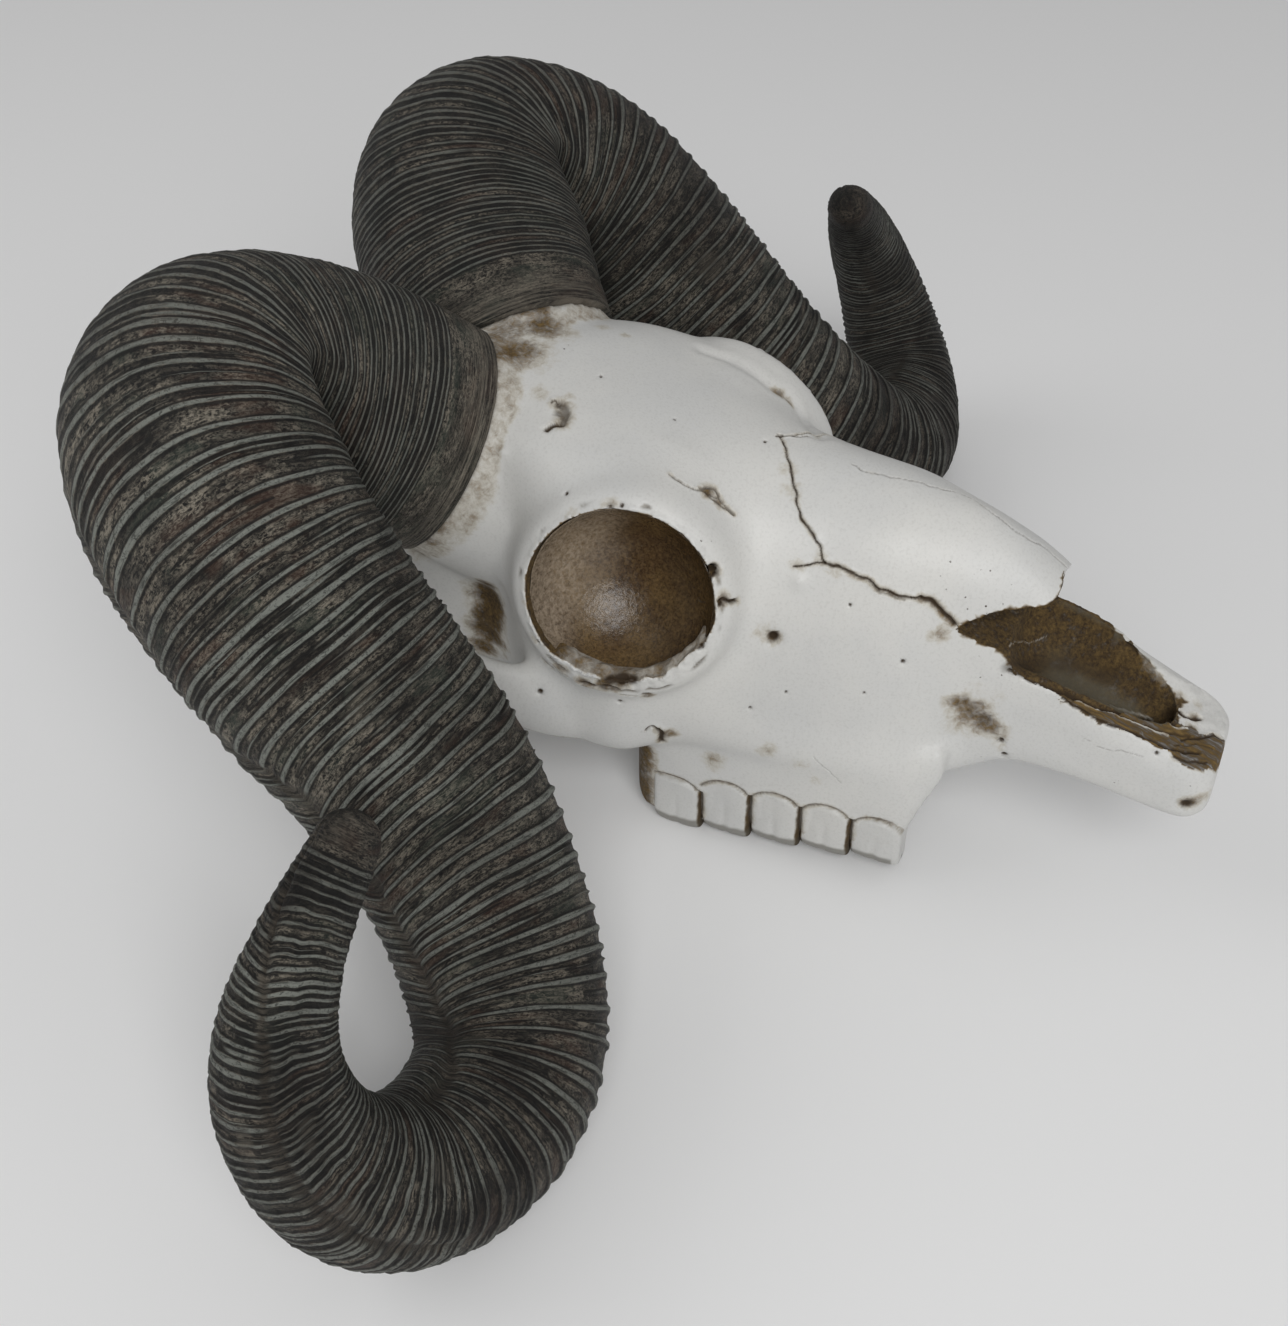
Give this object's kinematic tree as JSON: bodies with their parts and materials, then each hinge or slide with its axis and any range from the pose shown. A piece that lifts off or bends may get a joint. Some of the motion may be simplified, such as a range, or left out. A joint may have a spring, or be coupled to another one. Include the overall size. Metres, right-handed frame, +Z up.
{
  "type": "cast resin ram skull",
  "caption": "Life-size cast ram skull without lower jaw, with closed eye sockets and two ribbed horns that curl down, out and up to blunt tips.",
  "frame": {"origin": "centre of the footprint box, at the height of the surface that the skull lies on", "axes": "+Z up; -Y the way the nose points; +X the animal's left"},
  "size_m": [0.4028, 0.2694, 0.1601],
  "materials": {
    "painted_bone": "satin off-white paint with brown wash in the cracks and sockets",
    "painted_horn": "dark satin paint, brushed grey-green on the rib crests"
  },
  "bodies": {
    "root": {"skull": "painted_bone", "horn_right_base": "painted_horn", "horn_right_crown": "painted_horn", "horn_right_shaft": "painted_horn", "horn_right_loop": "painted_horn", "horn_right_turn": "painted_horn", "horn_right_tip": "painted_horn", "horn_left_base": "painted_horn", "horn_left_crown": "painted_horn", "horn_left_shaft": "painted_horn", "horn_left_loop": "painted_horn", "horn_left_turn": "painted_horn", "horn_left_tip": "painted_horn"}
  },
  "joints": []
}
